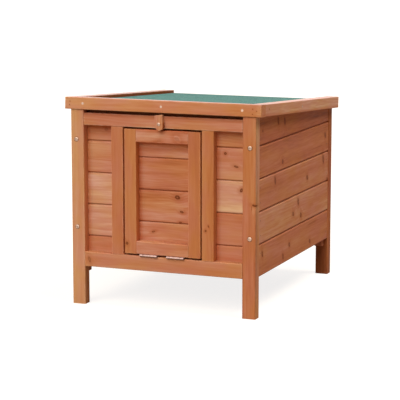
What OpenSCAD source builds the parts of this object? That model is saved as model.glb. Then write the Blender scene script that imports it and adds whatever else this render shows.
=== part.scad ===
// Elevated wooden rabbit hutch: a boarded cabin on four legs, with a drop-down door,
// a turn button above it and a felted lean-to roof that lifts at its rear hinges.

/* [Body] */
// Width over the legs
body_w = 404; // [360:1:460]
// Depth over the legs
body_d = 496; // [420:1:580]
// Height of the roof's underside at its front edge
front_h = 407; // [380:1:460]
// Fall of the roof towards the rear, in degrees
roof_slope = 3.63; // [2:0.01:5]

/* [Legs] */
// Leg width across the front
leg_w = 28.5; // [24:0.5:34]
// Leg thickness, front to rear
leg_t = 22.4; // [21:0.1:28]
// Radius of the legs' eased edges
leg_ease = 2.5; // [1:0.1:4]

/* [Rails and jambs] */
// Thickness of the rails and jambs
rail_t = 18; // [17.5:0.5:19]
// How far the rails' face lies behind the legs' face
rail_set = 1; // [0.5:0.1:2]
// Height of the top rails
top_rail_h = 25; // [22:0.5:32]
// Ventilation slot between the front top rail and the roof
vent_gap = 7; // [4:0.5:10]
// Height of the bottom rails' lower edge above the ground
bottom_rail_z = 80.5; // [70:0.5:100]
// Height of the bottom rails
bottom_rail_h = 30.5; // [26:0.5:36]
// Width of the door jambs
jamb_w = 25.5; // [22:0.5:34]
// Radius of the eased edges on rails, jambs, door and roof members
rail_ease = 1.5; // [0.5:0.1:3]

/* [Boards] */
// Pitch of the tongue and groove boards
board_pitch = 66.2; // [50:0.1:80]
// Board thickness
board_t = 8; // [7:0.1:9]
// Open gap between two boards
board_gap = 1; // [0.3:0.1:1.5]
// Depth of the V joint's chamfer
vee = 2.2; // [1:0.1:2.4]
// Tongue thickness
tongue_t = 2.2; // [1.6:0.1:2.6]
// Tongue length
tongue_d = 4; // [3:0.1:6]
// Clearance on each side of a tongue
tongue_play = 0.15; // [0.1:0.05:0.3]
// Height of the boards' lower edge above the ground
wall_z = 83; // [76:0.5:92]
// Height of the lowest board joint on the side and rear walls
wall_joint_z = 147.7; // [125:0.1:160]
// Height of the lowest board joint beside the door
front_joint_z = 142.6; // [125:0.1:160]
// How far the side boards' face lies inside the legs' outer face
side_set = 1.5; // [0.5:0.1:3]
// How far the boards stay below the roof
wall_clear = 1; // [0.5:0.1:3]
// How far the front and rear boards end below the edge of the rail that they are nailed to
board_lap_in = 6; // [3:0.5:10]

/* [Battens and floor] */
// Width of the corner battens
batten_w = 16; // [14:0.5:22]
// Depth of the corner battens
batten_d = 15.5; // [15.5:0.5:22]
// Height of the corner battens' lower end above the ground
batten_z = 66; // [50:1:80]
// Width of the floor bearers
bearer_w = 18; // [12:0.5:24]
// Height of the floor bearers
bearer_h = 15; // [10:0.5:18]
// How far the floor lies below the sill
sill_h = 2; // [0.5:0.5:5]

/* [Door] */
// Door width
door_w = 166; // [140:1:190]
// Gap between door and jambs
door_gap_side = 3.5; // [2:0.1:5]
// Gap between door and top rail
door_gap_top = 3.8; // [2.5:0.1:5]
// Thickness of the door's frame
door_t = 17; // [16:0.1:17.2]
// Width of the door's stiles
door_stile_w = 26; // [22:0.5:32]
// Height of the door's rails
door_rail_h = 26; // [22:0.5:32]
// Height of the lowest board joint in the door
door_joint_z = 180.2; // [160:0.1:190]
// How far the door stops reach over the door's edge
stop_lap = 4; // [2:0.5:6]
// Depth of the door stops
stop_t = 10; // [8:0.5:14]
// Clearance between the door's boards and the stops
stop_clear = 1.5; // [1:0.1:3]

/* [Hinges] */
// Length of a hinge
hinge_l = 38; // [30:1:50]
// Diameter of the hinge knuckles
knuckle_d = 4.8; // [4.6:0.1:6]
// Diameter of the hinge pins
pin_d = 2.4; // [2:0.1:2.6]
// Thickness of a hinge leaf
leaf_t = 1.2; // [0.9:0.1:1.3]
// Depth of a hinge leaf on the wood
leaf_w = 15; // [10:0.5:16]
// Space between the two closed leaves
leaf_space = 1.6; // [1:0.1:2]
// Gap between neighbouring knuckles
knuckle_gap = 0.4; // [0.3:0.1:0.8]
// Distance of the door hinges from the middle
door_hinge_x = 29.4; // [26:0.1:60]
// Distance of the roof hinges from the middle
roof_hinge_x = 110; // [60:1:140]

/* [Turn button] */
// Width of the turn button
button_w = 16.5; // [14:0.5:20]
// Thickness of the turn button
button_t = 10; // [8:0.5:12]
// Reach of its long end, beyond the screw
button_reach = 18; // [17:0.5:21]
// Sideways place of its screw
button_x = -2; // [-30:0.5:30]
// Height of its screw above the lower edge of the top rail
button_up = 9.7; // [6.5:0.1:10]
// How far it leans at rest, in degrees
button_lean = 7; // [0:1:10]
// Radius of its square end's corners
button_ease = 2; // [1:0.5:4]

/* [Roof] */
// Height of the roof frame
roof_h = 24.6; // [20:0.1:28]
// Width of the roof frame's members
roof_member_w = 27; // [26:0.5:32]
// How far the roof stands out in front of the legs
roof_over = 3.5; // [2:0.5:6]
// How far the roof stands out at each side of the legs
roof_side_over = 11; // [10:0.5:40]
// How far the roof stands out behind the legs
roof_rear_over = 9.5; // [8.5:0.5:11]
// How far the felt lies below the frame's top
felt_down = 6.7; // [3:0.1:8]
// Thickness of the felt
felt_t = 1.5; // [1:0.1:2.5]
// Width of the cross battens under the deck
cross_w = 27; // [20:0.5:36]
// Thickness of the rear cross batten
cross_t = 12; // [8:0.5:16]
// Distance of the rear cross batten from the roof's end
cross_in = 110; // [80:1:150]
// How far the rear cross batten stays inside the corner battens
cross_clear = 14; // [5:1:30]
// Thickness of the front cross batten, which drops behind the front rail
lip_t = 15.4; // [12:0.1:18]
// How far the front cross batten stays inside the corner battens
lip_clear = 6.5; // [3:0.5:10]

/* [Screws] */
// Shank diameter
screw_d = 3.5; // [3:0.1:4]
// Head diameter of the button's screw
head_d = 7; // [6:0.1:8]
// Head diameter of the leg screws
leg_head_d = 8.4; // [7:0.1:10]
// Head height
head_h = 1.8; // [1.2:0.1:2.5]
// How far the leg screws reach into the battens
screw_bite = 14; // [10:0.5:15]
// Distance of the leg screws from the body's side
leg_screw_in = 12.5; // [12.3:0.1:16]
// Height of the lower leg screws
leg_screw_low = 163; // [130:1:200]
// Height of the upper leg screws
leg_screw_high = 345; // [300:1:355]
// Distance of the outer roof screws from the middle
roof_screw_x = 173.5; // [140:0.5:176]
// Shank diameter of the roof screws
roof_screw_d = 2.6; // [2:0.1:3]
// Head diameter of the roof screws, set flush
roof_head_d = 5.2; // [4:0.1:6]

/* [Fits] */
// Clearance between moving pieces, and under the seated roof
fit_gap = 0.3; // [0.2:0.05:0.5]
// Gap in a butt joint
joint_gap = 0.2; // [0.1:0.05:0.4]
// Radial clearance of pins and screws in their holes
pin_play = 0.05; // [0.02:0.01:0.1]

/* [Hidden] */
$fn = 48;

// Colours of the stained fir, the felt and the zinc-plated steel
fir = [0.72, 0.44, 0.28];
fir_dark = [0.58, 0.34, 0.21];
felt_green = [0.40, 0.58, 0.53];
zinc = [0.75, 0.75, 0.73];

// Larger than the hutch, for cutting planes
beyond = 2 * (body_d + front_h);
// Overlap of cutters past a face
cut = 1;

// Heights
top_rail_z1 = front_h - vent_gap;
top_rail_z0 = top_rail_z1 - top_rail_h;
sill_z = bottom_rail_z + bottom_rail_h;
floor_z0 = sill_z - sill_h - board_t;
hinge_gap = 2 * leaf_t + leaf_space;
door_z0 = sill_z + hinge_gap;
door_z1 = top_rail_z0 - door_gap_top;
rear_under_z = front_h - (body_d + roof_over) * tan(roof_slope);
rear_rail_z0 = rear_under_z - hinge_gap - top_rail_h;

// Outer size of the roof, its length along the slope
roof_w = body_w + 2 * roof_side_over;
roof_len = (body_d + roof_over + roof_rear_over) / cos(roof_slope);

// Places across the width
leg_in_x = body_w / 2 - leg_w;
side_in_x = body_w / 2 - side_set - board_t;
batten_in_x = side_in_x - batten_w;
jamb_x0 = door_w / 2 + door_gap_side;
roof_in_x = roof_w / 2 - roof_member_w;

// Places from front to rear, measured from the front legs' face
rail_back_y = rail_set + rail_t;
boards_back_y = rail_back_y + board_t;
batten_back_y = leg_t + batten_d;

// Hinge axes: the knuckles stand clear in front of the wood
knuckle_out = knuckle_d / 2 + fit_gap;
door_axis_y = rail_set - knuckle_out;
door_axis_z = sill_z + hinge_gap / 2;
roof_axis_v = -hinge_gap / 2;
roof_axis_u = (body_d - rail_set + roof_over - roof_axis_v * sin(roof_slope)) / cos(roof_slope) + knuckle_out;

// The door's rear top edge rises this much as the door starts to swing
door_h = door_z1 - door_axis_z;
door_rise = norm([rail_set + door_t - door_axis_y, door_h]) - door_h;
button_z = top_rail_z0 + button_up;
// Short end of the turn button: it just lets the door pass
button_tail = button_up + door_gap_top - door_rise - fit_gap;
button_y1 = rail_set - fit_gap;

// Layers of the roof, above its underside
deck_v1 = roof_h - felt_down - felt_t;
deck_v0 = deck_v1 - board_t;
deck_u0 = roof_member_w + joint_gap;
deck_u1 = roof_len - felt_t;

// The origin lies on the ground under the middle of the overall box
reach_front = button_t + head_h - button_y1;
reach_rear = roof_len * cos(roof_slope) + roof_h * sin(roof_slope) - roof_over;
front_y = (reach_front - reach_rear) / 2;

module place() {
    translate([0, front_y, 0]) children();
}

// Turns the front end round, for the like pieces of the rear
module at_rear() {
    translate([0, body_d, 0]) mirror([0, 1, 0]) children();
}

module at_side(side) {
    if (side > 0) mirror([1, 0, 0]) children();
    else children();
}

// The roof's own frame: U along its slope, V square to it, from the front lower edge
module on_roof() {
    translate([0, -roof_over, front_h]) rotate([-roof_slope, 0, 0]) children();
}

module below_roof(drop) {
    difference() {
        children();
        on_roof() translate([-beyond / 2, -beyond / 4, -drop]) cube(beyond);
    }
}

// Rectangle with rounded corners, from the origin
module eased(w, h, r) {
    translate([r, 0]) square([w - 2 * r, h]);
    translate([0, r]) square([w, h - 2 * r]);
    for (x = [r, w - r], y = [r, h - r]) translate([x, y]) circle(r = r);
}

// Extrusions along X and Y: the profile's Y is up
module along_x(l) {
    rotate([90, 0, 90]) linear_extrude(l) children();
}

module along_y(l) {
    translate([0, l, 0]) rotate([90, 0, 0]) linear_extrude(l) children();
}

module turned() {
    mirror([1, -1, 0]) children();
}

// One tongue and groove board: X is its thickness from the face with the V joints, Y its width
module board_profile(lo, hi, groove, tongue) {
    mid = board_t / 2;
    half = tongue_t / 2;
    slot = half + tongue_play;
    lower = groove
        ? [[board_t, lo], [mid + slot, lo], [mid + slot, lo + tongue_d], [mid - slot, lo + tongue_d],
           [mid - slot, lo], [vee, lo], [0, lo + vee]]
        : [[board_t, lo], [0, lo]];
    upper = tongue
        ? [[0, hi - vee], [vee, hi], [mid - half, hi], [mid - half, hi + tongue_d],
           [mid + half, hi + tongue_d], [mid + half, hi], [board_t, hi]]
        : [[0, hi], [board_t, hi]];
    polygon(concat(lower, upper));
}

// Edges of the boards from lo to hi, with a joint at every pitch; no strip narrower than its joint
function board_edges(lo, hi, joint) =
    let (least = vee + tongue_d + board_gap)
    concat([lo], [for (z = [joint : board_pitch : hi - least]) if (z > lo + least) z], [hi]);

// Calls its children's extrusion once per board
module board_row(lo, hi, joint) {
    edges = board_edges(lo, hi, joint);
    last = len(edges) - 2;
    for (i = [0 : last]) {
        $board_lo = edges[i];
        $board_hi = edges[i + 1] - (i < last ? board_gap : 0);
        $board_groove = i > 0;
        $board_tongue = i < last;
        children();
    }
}

module this_board() {
    board_profile($board_lo, $board_hi, $board_groove, $board_tongue);
}

// Pan-head screw: the shank runs up Z from the head's seat
module pan_screw(l, d) {
    slot_w = d / 5;
    difference() {
        union() {
            cylinder(h = l, d = screw_d);
            translate([0, 0, -head_h / 2]) cylinder(h = head_h / 2, d = d);
            translate([0, 0, -head_h]) cylinder(h = head_h / 2, d1 = d * 0.6, d2 = d);
        }
        for (a = [0, 90]) rotate([0, 0, a])
            translate([-d / 4, -slot_w / 2, -head_h - cut]) cube([d / 2, slot_w, cut + head_h * 0.6]);
    }
}

// Places of the leg screws in one front or rear end
module at_leg_screws(sides) {
    for (side = sides, z = [leg_screw_low, leg_screw_high])
        translate([side * (body_w / 2 - leg_screw_in), 0, z]) rotate([-90, 0, 0]) children();
}

module leg_screw_holes() {
    at_leg_screws([-1, 1]) translate([0, 0, -cut])
        cylinder(h = leg_t + screw_bite + 2 * cut, d = screw_d + 2 * pin_play);
}

module front_leg(side) {
    difference() {
        translate([side < 0 ? -body_w / 2 : leg_in_x, 0, 0])
            linear_extrude(front_h + cut) eased(leg_w, leg_t, leg_ease);
        leg_screw_holes();
    }
}

module leg_front_left() {
    color(fir) place() below_roof(fit_gap) front_leg(-1);
}

module leg_front_right() {
    color(fir) place() below_roof(fit_gap) front_leg(1);
}

module leg_rear_left() {
    color(fir) place() below_roof(fit_gap) at_rear() front_leg(-1);
}

module leg_rear_right() {
    color(fir) place() below_roof(fit_gap) at_rear() front_leg(1);
}

// A rail between the legs, with its lower edge at z
module front_rail(z, h) {
    l = 2 * (leg_in_x - joint_gap);
    translate([-l / 2, rail_set, z]) along_x(l) eased(rail_t, h, rail_ease);
}

module at_button() {
    translate([button_x, button_y1, button_z]) rotate([-90, 0, 0]) children();
}

module rail_front_top() {
    color(fir) place() difference() {
        front_rail(top_rail_z0, top_rail_h);
        at_button() cylinder(h = rail_t - 2, d = screw_d + 2 * pin_play);
    }
}

module rail_front_bottom() {
    color(fir) place() front_rail(bottom_rail_z, bottom_rail_h);
}

module rail_rear_top() {
    color(fir) place() below_roof(hinge_gap) at_rear() front_rail(rear_rail_z0, top_rail_h + hinge_gap);
}

module rail_rear_bottom() {
    color(fir) place() at_rear() front_rail(bottom_rail_z, bottom_rail_h);
}

module jamb(side) {
    z0 = sill_z + joint_gap;
    at_side(side) translate([-jamb_x0 - jamb_w, rail_set, z0])
        linear_extrude(top_rail_z0 - joint_gap - z0) eased(jamb_w, rail_t, rail_ease);
}

module jamb_left() {
    color(fir) place() jamb(-1);
}

module jamb_right() {
    color(fir) place() jamb(1);
}

// Infill boards from the leg to the middle of the jamb, nailed on behind the frame
module front_boards(side) {
    l = leg_in_x - joint_gap - jamb_x0 - jamb_w / 2;
    at_side(side) translate([joint_gap - leg_in_x, rail_back_y, 0])
        board_row(wall_z, top_rail_z1 - board_lap_in, front_joint_z) along_x(l) this_board();
}

module boards_front_left() {
    color(fir) place() front_boards(-1);
}

module boards_front_right() {
    color(fir) place() front_boards(1);
}

// Side boards between the legs, cut to the roof's slope
module side_boards(side) {
    y0 = leg_t + joint_gap;
    at_side(side) below_roof(wall_clear) translate([side_set - body_w / 2, y0, 0])
        board_row(wall_z, front_h, wall_joint_z) along_y(body_d - 2 * y0) this_board();
}

module boards_side_left() {
    color(fir) place() side_boards(-1);
}

module boards_side_right() {
    color(fir) place() side_boards(1);
}

module boards_rear() {
    l = 2 * (leg_in_x - joint_gap);
    color(fir) place() at_rear() translate([-l / 2, rail_back_y, 0])
        board_row(wall_z, rear_rail_z0 + top_rail_h - board_lap_in, wall_joint_z) along_x(l) this_board();
}

// Corner batten behind a leg, inside the side boards
module corner_batten(side) {
    difference() {
        at_side(side) translate([-side_in_x, leg_t, batten_z]) cube([batten_w, batten_d, front_h - batten_z]);
        leg_screw_holes();
    }
}

module batten_front_left() {
    color(fir_dark) place() below_roof(wall_clear) corner_batten(-1);
}

module batten_front_right() {
    color(fir_dark) place() below_roof(wall_clear) corner_batten(1);
}

module batten_rear_left() {
    color(fir_dark) place() below_roof(wall_clear) at_rear() corner_batten(-1);
}

module batten_rear_right() {
    color(fir_dark) place() below_roof(wall_clear) at_rear() corner_batten(1);
}

// Floor bearer along a side wall, between the corner battens
module bearer(side) {
    y0 = batten_back_y + joint_gap;
    at_side(side) translate([-side_in_x, y0, floor_z0 - bearer_h])
        cube([bearer_w, body_d - 2 * y0, bearer_h]);
}

module bearer_left() {
    color(fir_dark) place() bearer(-1);
}

module bearer_right() {
    color(fir_dark) place() bearer(1);
}

module batten_notches() {
    for (side = [-1, 1]) at_side(side)
        translate([-side_in_x - cut, leg_t - cut, floor_z0 - cut])
            cube([batten_w + cut + joint_gap, batten_d + cut + joint_gap, board_t + 2 * cut]);
}

// Floor boards across the hutch, notched round the corner battens
module floor_boards() {
    l = 2 * (side_in_x - joint_gap);
    y0 = boards_back_y + joint_gap;
    color(fir_dark) place() difference() {
        translate([-l / 2, 0, floor_z0])
            board_row(y0, body_d - y0, y0 + board_pitch) along_x(l) turned() this_board();
        batten_notches();
        at_rear() batten_notches();
    }
}

// Strip behind a jamb that the closed door meets
module door_stop(side) {
    w = door_gap_side + stop_lap + jamb_w / 2 - joint_gap;
    z0 = sill_z + joint_gap;
    at_side(side) translate([stop_lap - door_w / 2 - w, rail_back_y, z0])
        cube([w, stop_t, top_rail_z0 - z0]);
}

module door_stop_left() {
    color(fir_dark) place() door_stop(-1);
}

module door_stop_right() {
    color(fir_dark) place() door_stop(1);
}

module leg_screws() {
    at_leg_screws([-1, 1]) pan_screw(leg_t + screw_bite, leg_head_d);
}

module leg_screws_front() {
    color(zinc) place() leg_screws();
}

module leg_screws_rear() {
    color(zinc) place() at_rear() leg_screws();
}

// The screw that the turn button turns on, from the button's face into the rail
module button_screw() {
    color(zinc) place() at_button() translate([0, 0, -button_t]) pan_screw(button_t + rail_t - 2, head_d);
}

// Closed butt hinge: the axis is X, the leaves run to +Y, and the upper leaf is the moving one
module hinge_leaf(upper) {
    pitch = hinge_l / 5;
    first = upper ? 1 : 0;
    z0 = upper ? leaf_space / 2 : -leaf_space / 2 - leaf_t;
    difference() {
        union() {
            translate([-hinge_l / 2, knuckle_out, z0]) cube([hinge_l, leaf_w, leaf_t]);
            for (i = [first : 2 : 4]) translate([-hinge_l / 2 + i * pitch + knuckle_gap / 2, 0, 0]) {
                rotate([0, 90, 0]) cylinder(h = pitch - knuckle_gap, d = knuckle_d);
                translate([0, 0, z0]) cube([pitch - knuckle_gap, knuckle_out + cut, leaf_t]);
            }
        }
        translate([-hinge_l / 2 - cut, 0, 0]) rotate([0, 90, 0])
            cylinder(h = hinge_l + 2 * cut, d = pin_d + 2 * pin_play);
    }
}

module hinge_pin() {
    translate([-hinge_l / 2, 0, 0]) rotate([0, 90, 0]) cylinder(h = hinge_l, d = pin_d);
}

module at_door_hinges() {
    for (side = [-1, 1]) translate([side * door_hinge_x, door_axis_y, door_axis_z]) children();
}

module at_roof_hinges() {
    for (side = [-1, 1]) on_roof() translate([side * roof_hinge_x, roof_axis_u, roof_axis_v])
        mirror([0, 1, 0]) children();
}

module door_hinge_rail_leaves() {
    color(zinc) place() at_door_hinges() hinge_leaf(false);
}

module door_hinge_door_leaves() {
    color(zinc) place() at_door_hinges() hinge_leaf(true);
}

module door_hinge_pins() {
    color(zinc) place() at_door_hinges() hinge_pin();
}

module roof_hinge_rail_leaves() {
    color(zinc) place() at_roof_hinges() hinge_leaf(false);
}

module roof_hinge_roof_leaves() {
    color(zinc) place() at_roof_hinges() hinge_leaf(true);
}

module roof_hinge_pins() {
    color(zinc) place() at_roof_hinges() hinge_pin();
}

module door_stile(side) {
    at_side(side) translate([-door_w / 2, rail_set, door_z0])
        linear_extrude(door_z1 - door_z0) eased(door_stile_w, door_t, rail_ease);
}

module door_stile_left() {
    color(fir) place() door_stile(-1);
}

module door_stile_right() {
    color(fir) place() door_stile(1);
}

// Door rail between the stiles
module door_rail(z) {
    l = door_w - 2 * (door_stile_w + joint_gap);
    translate([-l / 2, rail_set, z]) along_x(l) eased(door_t, door_rail_h, rail_ease);
}

module door_rail_top() {
    color(fir) place() door_rail(door_z1 - door_rail_h);
}

module door_rail_bottom() {
    color(fir) place() door_rail(door_z0);
}

// Boards on the back of the door's frame, clear of the stops
module door_boards() {
    l = door_w - 2 * (stop_lap + stop_clear);
    color(fir) place() translate([-l / 2, rail_set + door_t, 0])
        board_row(door_z0 + board_lap_in, door_z1 - board_lap_in, door_joint_z) along_x(l) this_board();
}

// Turn button: a square long end, up at rest, and a round short end
module turn_button() {
    r = button_w / 2;
    color(fir) place() translate([button_x, button_y1, button_z])
        rotate([0, -button_lean, 0]) rotate([90, 0, 0])
        difference() {
            linear_extrude(button_t) union() {
                translate([-r, 0]) eased(button_w, button_reach, button_ease);
                translate([-r, r - button_tail]) square([button_w, button_tail]);
                translate([0, r - button_tail]) circle(r = r);
            }
            translate([0, 0, -cut]) cylinder(h = button_t + 2 * cut, d = screw_d + 2 * pin_play);
        }
}

// Places of the roof screws on the frame's outer faces, at the middle of the deck's thickness
module at_roof_screws() {
    v = (deck_v0 + deck_v1) / 2;
    for (x = [-roof_screw_x, 0, roof_screw_x]) translate([x, 0, v]) rotate([-90, 0, 0]) children();
    for (side = [-1, 1])
        translate([side * roof_w / 2, roof_len / 2, v]) rotate([0, -90 * side, 0]) children();
}

// Countersunk screw, its head flush with the outer face
module flush_screw(play) {
    sink = (roof_head_d - roof_screw_d) / 2;
    cylinder(h = roof_member_w + screw_bite, d = roof_screw_d + 2 * play);
    cylinder(h = sink, d1 = roof_head_d + 2 * play, d2 = roof_screw_d + 2 * play);
}

module roof_screw_holes() {
    at_roof_screws() flush_screw(pin_play);
}

module roof_front() {
    color(fir) place() on_roof() difference() {
        translate([-roof_w / 2, 0, 0]) along_x(roof_w) eased(roof_member_w, roof_h, rail_ease);
        roof_screw_holes();
    }
}

module roof_side(side) {
    u0 = roof_member_w + joint_gap;
    difference() {
        at_side(side) translate([-roof_w / 2, u0, 0])
            along_y(roof_len - u0) eased(roof_member_w, roof_h, rail_ease);
        roof_screw_holes();
    }
}

module roof_side_left() {
    color(fir) place() on_roof() roof_side(-1);
}

module roof_side_right() {
    color(fir) place() on_roof() roof_side(1);
}

// Strip under the rear end of the deck, which carries the hinges; their knuckles stay behind it
module roof_rear() {
    l = 2 * (roof_in_x - joint_gap);
    color(fir_dark) place() on_roof() translate([-l / 2, roof_axis_u - knuckle_out - roof_member_w, 0])
        cube([l, roof_member_w, deck_v0]);
}

// Deck boards from front to rear, their V joints facing down
module roof_deck() {
    half = roof_in_x - joint_gap;
    color(fir_dark) place() on_roof() difference() {
        translate([0, deck_u0, deck_v0])
            board_row(-half, half, board_pitch - half) along_y(deck_u1 - deck_u0) turned() this_board();
        roof_screw_holes();
    }
}

// Felt on the deck, turned down over the rear edge
module roof_felt() {
    half = roof_in_x - joint_gap;
    color(felt_green) place() on_roof() {
        translate([-half, deck_u0, deck_v1]) cube([2 * half, roof_len - deck_u0, felt_t]);
        translate([-half, deck_u1, deck_v0]) cube([2 * half, felt_t, board_t + felt_t]);
    }
}

// Cross batten that holds the deck boards together
module roof_cross(u, t, clear) {
    half = batten_in_x - clear;
    color(fir_dark) place() on_roof() translate([-half, u, deck_v0 - t])
        cube([2 * half, cross_w, t]);
}

// The front one drops behind the front rail and keeps the roof in its place
module roof_cross_front() {
    roof_cross(roof_member_w + 2 * joint_gap, lip_t, lip_clear);
}

module roof_cross_rear() {
    roof_cross(roof_len - cross_in - cross_w, cross_t, cross_clear);
}

module roof_screws() {
    color(zinc) place() on_roof() at_roof_screws() flush_screw(0);
}

leg_front_left();
leg_front_right();
leg_rear_left();
leg_rear_right();
rail_front_top();
rail_front_bottom();
rail_rear_top();
rail_rear_bottom();
jamb_left();
jamb_right();
boards_front_left();
boards_front_right();
boards_side_left();
boards_side_right();
boards_rear();
batten_front_left();
batten_front_right();
batten_rear_left();
batten_rear_right();
bearer_left();
bearer_right();
floor_boards();
door_stop_left();
door_stop_right();
leg_screws_front();
leg_screws_rear();
button_screw();
door_hinge_rail_leaves();
door_hinge_pins();
roof_hinge_rail_leaves();
roof_hinge_pins();
door_stile_left();
door_stile_right();
door_rail_top();
door_rail_bottom();
door_boards();
door_hinge_door_leaves();
turn_button();
roof_front();
roof_side_left();
roof_side_right();
roof_rear();
roof_deck();
roof_felt();
roof_cross_front();
roof_cross_rear();
roof_screws();
roof_hinge_roof_leaves();
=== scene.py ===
import math

import bmesh
import bpy
from mathutils import Matrix, Vector


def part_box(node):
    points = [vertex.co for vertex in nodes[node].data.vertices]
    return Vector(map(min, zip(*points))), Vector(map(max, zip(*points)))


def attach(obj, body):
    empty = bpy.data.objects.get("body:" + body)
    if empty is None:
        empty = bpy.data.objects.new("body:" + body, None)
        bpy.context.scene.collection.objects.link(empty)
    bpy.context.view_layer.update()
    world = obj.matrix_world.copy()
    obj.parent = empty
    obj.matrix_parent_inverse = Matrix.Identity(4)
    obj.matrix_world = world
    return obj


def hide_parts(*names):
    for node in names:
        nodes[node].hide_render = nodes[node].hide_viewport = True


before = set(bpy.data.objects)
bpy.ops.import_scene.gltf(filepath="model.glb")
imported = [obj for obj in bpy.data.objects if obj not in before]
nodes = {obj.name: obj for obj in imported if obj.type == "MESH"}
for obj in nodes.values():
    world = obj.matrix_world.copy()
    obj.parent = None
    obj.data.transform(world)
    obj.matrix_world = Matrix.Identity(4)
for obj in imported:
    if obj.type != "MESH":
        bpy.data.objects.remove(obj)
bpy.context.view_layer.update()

# Sizes of the hutch, in metres, as in the part's source
FRONT_Y = -0.24797875
BODY_DEPTH = 0.496
REAR_Y = FRONT_Y + BODY_DEPTH
SIDE_FACE_X = 0.2005
ROOF_SLOPE = math.radians(3.63)
ROOF_FACE_Y = FRONT_Y - 0.0035
ROOF_FACE_X = 0.213
ROOF_FRONT = (0.0, ROOF_FACE_Y, 0.407)
ROOF_LENGTH = 0.51002
FELT_HALF_WIDTH = 0.1858
FELT_START = 0.0272
FELT_TOP = 0.0179
FELT_FLAP = 0.0095
FELT_THICKNESS = 0.0015
DOOR_HINGE_Z = 0.113
LEG_SCREW_X = 0.1895
LEG_SCREW_HEIGHTS = (0.163, 0.345)
LEG_SCREW_RING = 0.0053

# Rows of boards: their pitch, how many a wall has, and a joint of each row
BOARD_PITCH = 0.0662
WALL_BOARDS = 5
WALL_JOINT_Z = 0.1477
FRONT_JOINT_Z = 0.1426
DOOR_JOINT_Z = 0.1802
FLOOR_JOINT_Y = -0.1545
DECK_JOINT_X = -0.1196

# Faces behind that of the front legs
FRAME_FACE_Y = FRONT_Y + 0.001
DOOR_BOARD_FACE_Y = FRONT_Y + 0.018
INFILL_FACE_Y = FRONT_Y + 0.019

# Waves, fold and nails of the felt, and the brads in the side boards. Each wave has its share,
# its turn for each metre along the slope and across it, and its start.
FELT_GRID = (48, 60)
FELT_WAVE = 0.00022
FELT_WAVE_MIDDLE = 2.6
FELT_WAVES = [(1.0, 21, 9, 0.0), (1.0, -12, 33, 1.0), (0.6, 55, -30, 0.0)]
FELT_FADE = 0.02
FELT_REAR_FADE = 0.03
FELT_FOLD = 0.0022
FELT_NAILS = 6
FELT_NAIL_PITCH = 0.066
FELT_NAIL_UP = 0.0107
FELT_NAIL_RADIUS, FELT_NAIL_RISE = 0.0036, 0.0005
BRAD_RADIUS, BRAD_RISE = 0.0011, 0.00025
BRAD_INSET = 0.0319
BRAD_HEIGHTS = (0.018, 0.048)
BRAD_LIMIT_Z = 0.385
NAIL_SIDES = 14
NAIL_TAPER = 0.82
NAIL_ROUNDING = 0.45
SHARP_ANGLE = math.radians(35)

# Camera, in metres, and its lens on a 36 mm sensor
CAMERA_PLACE = (1.3107, -3.2965, 0.7830)
CAMERA_AIM = (0.0057, -0.05515, 0.20073)
CAMERA_LENS = 149.93
CAMERA_SENSOR = 36.0
CAMERA_REACH = 200.0

# Broad lamps: name, degrees from the front to the right, degrees up, degrees wide, strength
LAMPS = [
    ("front_light", -9, 40, 50, 2.8),
    ("side_light", 95, 65, 28, 2.25),
    ("rear_fill", 205, 24, 70, 0.9),
]
LAMP_DISTANCE = 4.0
AMBIENT_FILL = (0.19, 0.133, 0.095, 1.0)
FLOOR_COLOUR = (0.31, 0.275, 0.225, 1.0)
FLOOR_GLOW = 0.82
FLOOR_ROUGHNESS = 0.9
FLOOR_REACH = 60.0

# Depth of the relief, in metres, and its strength
WOOD_RELIEF = (0.0003, 0.35)
ZINC_RELIEF = (0.0001, 0.15)
FELT_RELIEF = (0.0006, 0.6)

# Object axes that run along, across and through a piece of wood
GRAIN_AXES = {"X": (0, 2, 1), "Y": (1, 2, 0), "Z": (2, 0, 1)}


def srgb(red, green, blue):
    """A colour as it is seen, 0 to 255, as Blender's linear colour."""
    def linear(c):
        return c / 12.92 if c < 0.04 else ((c + 0.055) / 1.055) ** 2.4
    return tuple(linear(c / 255) for c in (red, green, blue)) + (1.0,)


WHITE = (1.0, 1.0, 1.0, 1.0)

# Colours of stained fir, from deep to pale, and what tints it, some of which also serve as painted
# shade
STAIN_TONES = [
    (0.0, srgb(134, 71, 40)),
    (0.25, srgb(168, 97, 62)),
    (0.45, srgb(182, 112, 75)),
    (0.6, srgb(188, 123, 88)),
    (0.8, srgb(197, 142, 108)),
    (1.0, srgb(214, 174, 143)),
]
ROSY_CAST = (1.0, 0.97, 1.10, 1.0)
GOLDEN_CAST = (1.0, 1.02, 0.78, 1.0)
# The red cast of painted shade, laid where shade falls in corners and on narrow sides
RED_SHADE_CAST = (1.15, 0.90, 0.74, 1.0)
KNOT_HALO = srgb(162, 84, 42)
KNOT_CORE = srgb(96, 46, 22)
# Pooled stain, which also serves as painted shade on joint facets, along edges and in gaps
POOLED_STAIN_AND_SHADE = srgb(110, 46, 18)
# Stain dried on the brads, also used as painted shade and reflection on the door hinges' lower side
DRIED_STAIN_AND_SHADE = srgb(84, 48, 28)

# Zinc: its colours, the stain dried on it, the painted shade and reflection on the door hinges, its
# spangle and its scratches
DULL_ZINC = srgb(150, 137, 129)
BRIGHT_ZINC = srgb(188, 174, 165)
SCREW_CAST = (1.15, 0.95, 0.80, 1.0)
# A painted reflection of the stained wood round the door hinges
DOOR_HINGE_WOOD_REFLECTION = (1.08, 0.85, 0.81, 1.0)
# Height under which the door hinges are painted dark, as painted shade and reflection, with its
# fade and share
HINGE_SHADE_Z = DOOR_HINGE_Z - 0.0010
HINGE_SHADE_FADE = 0.0006
HINGE_SHADE_SHARE = 0.9
BRAD_STAIN_SHARE = 0.8
SPANGLE_STRETCH = (300.0, 300.0, 300.0)
SPANGLE_FADE = (0.3, 0.7)
SPANGLE_ROUGHNESS = 0.16
ZINC_ROUGHNESS = 0.5
SCRATCH_STRETCH = (150.0, 3000.0, 3000.0)
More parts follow.
